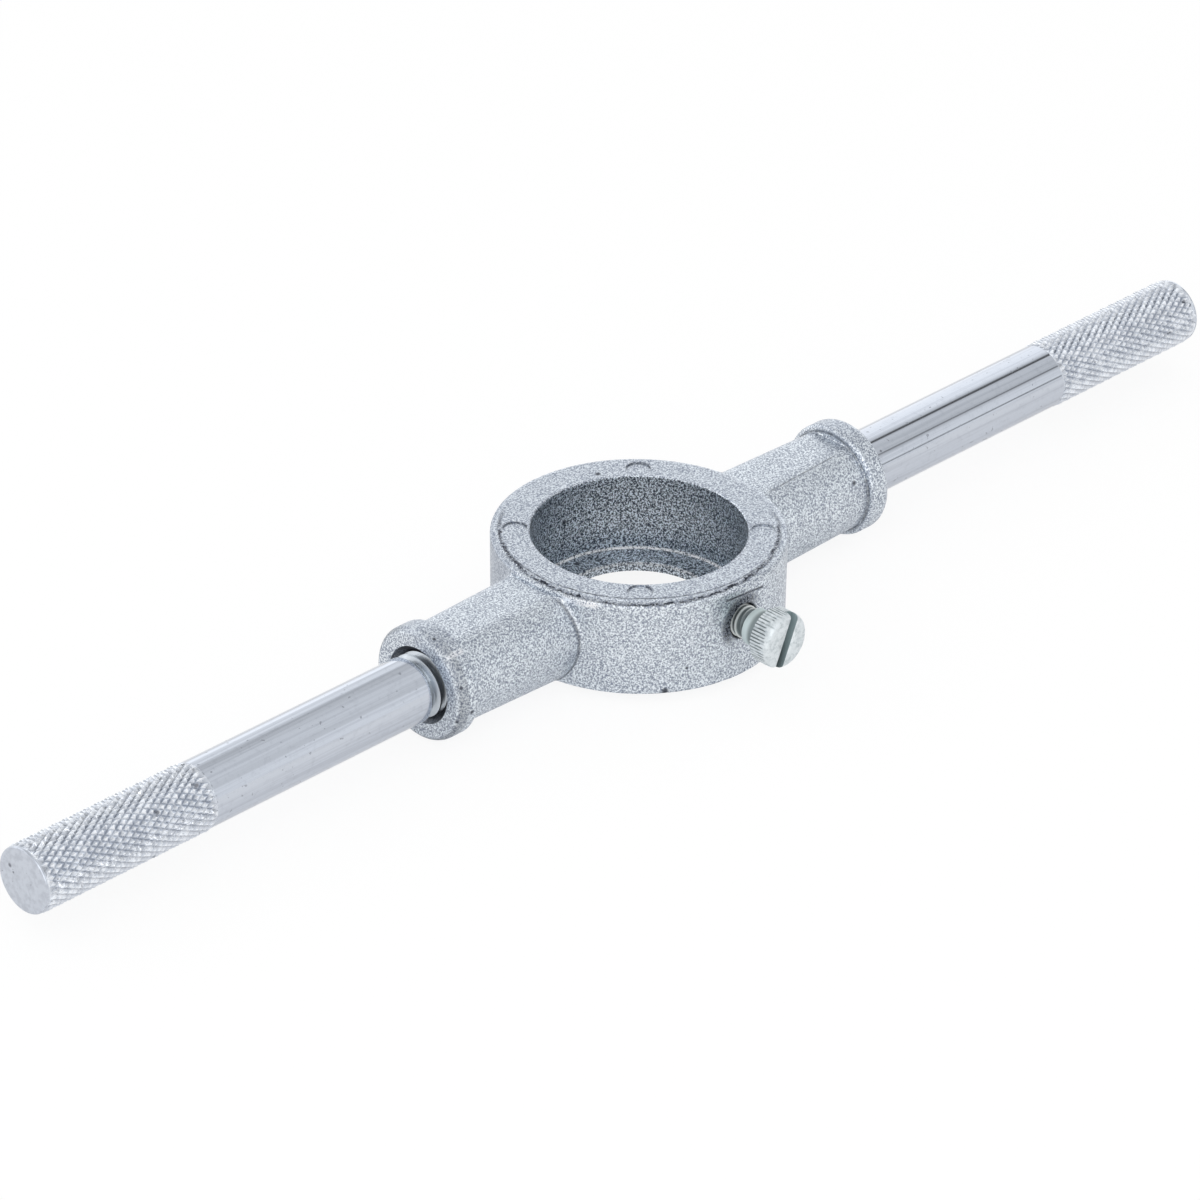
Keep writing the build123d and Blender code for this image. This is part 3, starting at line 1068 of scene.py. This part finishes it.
@dataclass
class ClampScrew:
    """Slotted screw with a fluted head, in the place of its CAD node."""

    node: str = "clamp_screw"
    body: str = "clamp_screw"
    axis_height: float = 1.7
    tip: float = 19.3
    point_radius: float = 0.9
    thread_start: float = 21.0
    thread_end: float = 27.2
    thread_pitch: float = 1.0
    thread_crest: float = 2.95
    thread_root: float = 2.36
    thread_drop: float = 0.04
    run_out_drop: float = 0.12
    groove_radius: float = 2.45
    neck_start: float = 28.0
    neck_radius: float = 3.4
    neck_edge: float = 0.25
    head_start: float = 31.45
    head_edge: float = 0.3
    head_radius: float = 5.13
    crown_start: float = 34.4
    head_end: float = 35.8
    face_radius: float = 4.3
    flutes: int = 52
    flute_depth: float = 0.24
    flute_form: Point = (0.0, 0.45, 1.0)
    flute_unevenness: float = 0.7
    flute_fade: float = 1.4
    flat_share: float = 0.6
    seed: int = 11
    crown_steps: tuple[float, ...] = (0.25, 0.5, 0.72, 0.88, 0.97, 1.0)
    slot_width: float = 1.8
    slot_depth: float = 1.5
    slot_turn: float = -23.0
    crease_degrees: float = 26.0

    @property
    def segments(self) -> int:
        """Points in each ring round the screw, four for each flute."""
        return 4 * self.flutes

    def build(self, material: bpy.types.Material) -> bpy.types.Object:
        """Builds the screw in the place of its CAD node.

        Args:
            material: the zinc plate.

        Returns:
            The screw's object.
        """
        sketch = MeshSketch()
        self._shank(sketch)
        self._head(sketch)
        piece = sketch.build(f"{self.node}_turned", material, self.crease_degrees)
        self._cut_slot(piece)
        for vertex in piece.data.vertices:
            x, y, z = vertex.co
            vertex.co = (y, -x, z + self.axis_height * MM)
        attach(piece, self.body)
        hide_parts(self.node)
        return piece

    def _shank(self, sketch: MeshSketch) -> None:
        """Adds the point, the thread, the groove and the neck.

        Args:
            sketch: the mesh that gets them.
        """
        start_radius = self.thread_root - self.thread_drop
        end_radius = self.groove_radius - self.run_out_drop
        thread = HelicalThread(
            self.thread_start, self.thread_end, self.thread_pitch, self.thread_crest,
            self.thread_root, start_radius, end_radius, self.segments,
        )
        first, last = thread.add_to(sketch)
        tip = sketch.ring(self.tip, [self.point_radius] * self.segments)
        sketch.bridge(tip, first)
        sketch.close(tip, self.tip, outwards=False)
        neck = sketch.lathe(
            last,
            [
                (self.neck_start, self.groove_radius),
                (self.neck_start, self.neck_radius - self.neck_edge),
                (self.neck_start + self.neck_edge, self.neck_radius),
                (self.head_start, self.neck_radius),
            ],
        )
        sketch.close(neck, self.head_start + self.neck_edge, outwards=True)

    def _flute_ring(self, sketch: MeshSketch, x: float, radius: float, depth: float) -> list[int]:
        """Adds a ring whose radius dips at each flute.

        Args:
            sketch: the mesh that gets it.
            x: the ring's place.
            radius: its radius between flutes.
            depth: how deep the flutes are.

        Returns:
            The ring.
        """
        chance = random.Random(self.seed)
        crest, flank, valley = self.flute_form
        radii = []
        for _ in range(self.flutes):
            deep = depth * (1 - self.flute_unevenness * chance.random())
            radii += [radius - deep * dip for dip in (crest, flank, valley, flank)]
        return sketch.ring(x, radii)

    def _head(self, sketch: MeshSketch) -> None:
        """Adds the fluted rim and the crowned face.

        Args:
            sketch: the mesh that gets them.
        """
        inner = self.head_radius - self.flute_depth - self.head_edge
        start = sketch.ring(self.head_start, [inner] * self.segments)
        sketch.close(start, self.head_start, outwards=False)
        rows = [
            (self.head_start + self.head_edge, self.head_radius, self.flute_depth),
            (self.crown_start - 0.1, self.head_radius, self.flute_depth),
        ]
        height = self.head_end - self.crown_start
        fall = self.head_radius - self.face_radius
        for share in self.crown_steps:
            drop = fall * (1 - math.sqrt(1 - share**2))
            depth = self.flute_depth * max(0.0, 1 - self.flute_fade * share)
            rows.append((self.crown_start + height * share, self.head_radius - drop, depth))
        ring = start
        for x, radius, depth in rows:
            after = self._flute_ring(sketch, x, radius, depth)
            sketch.bridge(ring, after)
            ring = after
        ring = sketch.lathe(ring, [(self.head_end, self.flat_share * self.face_radius)])
        sketch.close(ring, self.head_end, outwards=True)

    def _cut_slot(self, piece: bpy.types.Object) -> None:
        """Cuts the screwdriver slot out of the head.

        Args:
            piece: the screw's object, still along +X.
        """
        cutter = MeshSketch()
        turn = math.radians(self.slot_turn)
        half, reach = self.slot_width / 2, 1.5 * self.head_radius
        for x in (self.head_end - self.slot_depth, self.head_end + self.slot_depth):
            for across, along in ((-half, -reach), (half, -reach), (half, reach), (-half, reach)):
                y = across * math.cos(turn) - along * math.sin(turn)
                z = across * math.sin(turn) + along * math.cos(turn)
                cutter.points.append((x, y, z))
        cutter.faces = [(0, 1, 2, 3), (4, 7, 6, 5)]
        cutter.faces += [(i, i + 4, (i + 1) % 4 + 4, (i + 1) % 4) for i in range(4)]
        tool = cutter.build("slot_cutter", piece.data.materials[0], self.crease_degrees)
        cut = piece.modifiers.new("slot", "BOOLEAN")
        cut.operation, cut.solver, cut.object = "DIFFERENCE", "EXACT", tool
        bpy.context.view_layer.update()
        graph = bpy.context.evaluated_depsgraph_get()
        piece.data = bpy.data.meshes.new_from_object(piece.evaluated_get(graph))
        piece.modifiers.clear()
        bpy.data.objects.remove(tool)


# Studio


@dataclass
class Camera:
    """The photograph's camera, fitted to the object's measured outline.

    The place is in millimetres, and the clipping distances are in metres.
    """

    place: Point = (-782.07, -758.06, 630.81)
    azimuth: float = -45.544
    elevation: float = 30.276
    roll: float = 0.767
    lens: float = 216.04
    sensor: float = 36.0
    nearest: float = 0.01
    farthest: float = 20.0

    def build(self) -> None:
        """Makes the scene's camera."""
        data = bpy.data.cameras.new("photo_camera")
        data.lens, data.sensor_width = self.lens, self.sensor
        data.clip_start, data.clip_end = self.nearest, self.farthest
        made = bpy.data.objects.new("photo_camera", data)
        bpy.context.scene.collection.objects.link(made)
        across, up = math.radians(self.azimuth), math.radians(self.elevation)
        ahead = Vector(
            (-math.sin(across) * math.cos(up), math.cos(across) * math.cos(up), -math.sin(up))
        )
        made.rotation_mode = "QUATERNION"
        upright = ahead.to_track_quat("-Z", "Y")
        made.rotation_quaternion = upright @ Quaternion((0.0, 0.0, 1.0), math.radians(self.roll))
        made.location = [value * MM for value in self.place]
        bpy.context.scene.camera = made


@dataclass
class Lamp:
    """A soft white lamp that the camera doesn't see, with its place and size in metres."""

    name: str
    place: Point
    size: tuple[float, float]
    power: float

    def build(self) -> None:
        """Makes the lamp, turned towards the object."""
        data = bpy.data.lights.new(self.name, "AREA")
        data.shape, data.size, data.size_y = "RECTANGLE", *self.size
        data.energy = self.power
        made = bpy.data.objects.new(self.name, data)
        made.location = self.place
        made.rotation_mode = "QUATERNION"
        made.rotation_quaternion = (-Vector(self.place)).to_track_quat("-Z", "Y")
        made.visible_camera = False
        bpy.context.scene.collection.objects.link(made)


@dataclass(frozen=True)
class Tent:
    """Bright and dark bands round the object, as the metal shows them.

    Each band is a pair of an angle from the zenith towards -Y, in degrees, and a brightness.
    The left handle and the right handle look towards different parts of the tent.
    """

    left: tuple[tuple[float, float], ...] = (
        (-180, 0.80), (-118, 0.85), (-98, 1.10), (-90, 1.20), (-74, 1.42), (-66, 1.02), (-60, 1.0),
        (-51, 1.12), (-42, 1.04), (-36, 0.78), (-30, 0.68), (-17, 0.76), (-3, 0.86), (30, 0.90),
        (52, 0.82), (57, 0.80), (62, 1.02), (90, 1.0), (180, 0.85),
    )
    right: tuple[tuple[float, float], ...] = (
        (-180, 0.85), (-125, 1.1), (-114, 1.40), (-90, 1.32), (-62, 1.28), (-33, 1.25), (-23, 1.10),
        (-12, 0.80), (-8, 0.12), (-3, 0.12), (0, 0.84), (15, 0.80), (42, 0.74), (44, 0.30),
        (47, 0.30), (49, 0.70), (57, 0.94), (79, 1.0), (80, 0.35), (83, 0.35), (84, 1.0),
        (90, 0.98), (180, 0.85),
    )
    left_edge: float = 0.60
    right_edge: float = 0.64
    brightest: float = 1.5
    tint: Colour = (0.97, 0.985, 1.0)

    def colour(self, graph: NodeGraph) -> bpy.types.NodeSocket:
        """Makes the tent's colour, which stands for its brightness over the brightest.

        Args:
            graph: the world's nodes.

        Returns:
            The colour's socket.
        """
        direction = graph.node("ShaderNodeTexCoord", {}, {}).outputs["Generated"]
        x, y, z = graph.parts(direction)
        around = graph.maths("ARCTAN2", -y, z) / (2 * math.pi) + 0.5
        ramps = []
        for bands in (self.left, self.right):
            settings = {"stops": self._stops(bands)}
            ramps.append(graph.node("ShaderNodeValToRGB", settings, {"Fac": around}).outputs[0])
        return graph.mix(x.rise(self.left_edge, self.right_edge), *ramps)

    def _stops(self, bands: tuple[tuple[float, float], ...]) -> list[tuple[float, Colour]]:
        """The bands as stops of a ramp over the whole turn."""
        return [
            ((angle + 180) / 360, tuple(part * level / self.brightest for part in self.tint))
            for angle, level in bands
        ]


@dataclass
class Studio:
    """Pale floor, white surroundings with a light tent for the metal, and two soft lamps.

    The floor's height is in millimetres, and half its width in metres.
    """

    floor_height: float = -10.5
    floor_half: float = 3.0
    floor_tone: float = 0.14
    floor_glow: float = 0.88
    mirrored_tone: float = 0.80
    mirrored_glow: float = 0.27
    fill_level: float = 0.75
    tent: Tent = field(default_factory=Tent)
    lamps: tuple[Lamp, ...] = (
        Lamp("key_lamp", (-1.1, -0.85, 0.85), (1.6, 1.6), 6.8),
        Lamp("rim_lamp", (-0.6, 1.2, 0.8), (0.8, 0.5), 0.8),
    )

    def build(self) -> None:
        """Makes the floor, the world and the lamps, and sets the view transform."""
        self._floor()
        self._world()
        for lamp in self.lamps:
            lamp.build()
        bpy.context.scene.view_settings.view_transform = "Standard"

    @staticmethod
    def _seen(graph: NodeGraph) -> tuple[Signal, Signal]:
        """Tells what a ray is for.

        Args:
            graph: the nodes of the floor or of the world.

        Returns:
            1 for rays of the camera, and 1 for what metal or glass shows.
        """
        path = graph.node("ShaderNodeLightPath", {}, {})
        camera, glossy, through = (
            Signal(graph, path.outputs[name])
            for name in ("Is Camera Ray", "Is Glossy Ray", "Is Transmission Ray")
        )
        return camera, glossy.most(through)

    def _floor(self) -> None:
        """Makes the floor: it keeps the shadow and looks white beside it."""
        half, height = self.floor_half, self.floor_height * MM
        mesh = bpy.data.meshes.new("floor")
        corners = [(-half, -half), (half, -half), (half, half), (-half, half)]
        mesh.from_pydata([(x, y, height) for x, y in corners], [], [(0, 1, 2, 3)])
        floor = bpy.data.objects.new("floor", mesh)
        bpy.context.scene.collection.objects.link(floor)
        material = bpy.data.materials.new("pale_floor")
        material.use_nodes = True
        graph = NodeGraph(material.node_tree)
        camera, shown = self._seen(graph)
        tones = [(tone, tone, tone) for tone in (self.floor_tone, self.mirrored_tone)]
        paint = graph.node("ShaderNodeBsdfDiffuse", {}, {"Color": graph.mix(shown, *tones)})
        level = self.floor_glow * camera + self.mirrored_glow * shown
        glow = graph.node("ShaderNodeEmission", {}, {"Strength": level})
        both = graph.node("ShaderNodeAddShader", {}, {0: paint.outputs[0], 1: glow.outputs[0]})
        graph.node("ShaderNodeOutputMaterial", {}, {"Surface": both.outputs[0]})
        mesh.materials.append(material)

    def _world(self) -> None:
        """Makes the surroundings: white for the camera, and the light tent for the metal."""
        world = bpy.data.worlds.new("light_tent")
        bpy.context.scene.world = world
        world.use_nodes = True
        graph = NodeGraph(world.node_tree)
        camera, shown = self._seen(graph)
        colour = graph.mix(shown, (1.0, 1.0, 1.0), self.tent.colour(graph))
        level = camera.most(self.tent.brightest * shown).most(self.fill_level)
        back = graph.node("ShaderNodeBackground", {}, {"Color": colour, "Strength": level})
        graph.node("ShaderNodeOutputWorld", {}, {"Surface": back.outputs[0]})


def main() -> None:
    """Builds the pieces, reports each of them, and builds the studio."""
    logging.basicConfig(level=logging.INFO, format="%(name)s: %(message)s")
    left = Handle(Side.LEFT, "left_handle", "left_handle")
    right = Handle(Side.RIGHT, "right_handle", "right_handle")
    screw = ClampScrew()
    chrome = Chrome().material(left)
    plate = ZincPlate().material(screw)
    pieces = [Casting().build(), left.build(chrome), right.build(chrome), screw.build(plate)]
    for piece in pieces:
        LOG.info("%s: %d faces", piece.name, len(piece.data.polygons))
    Studio().build()
    Camera().build()


if __name__ == "__main__":
    main()
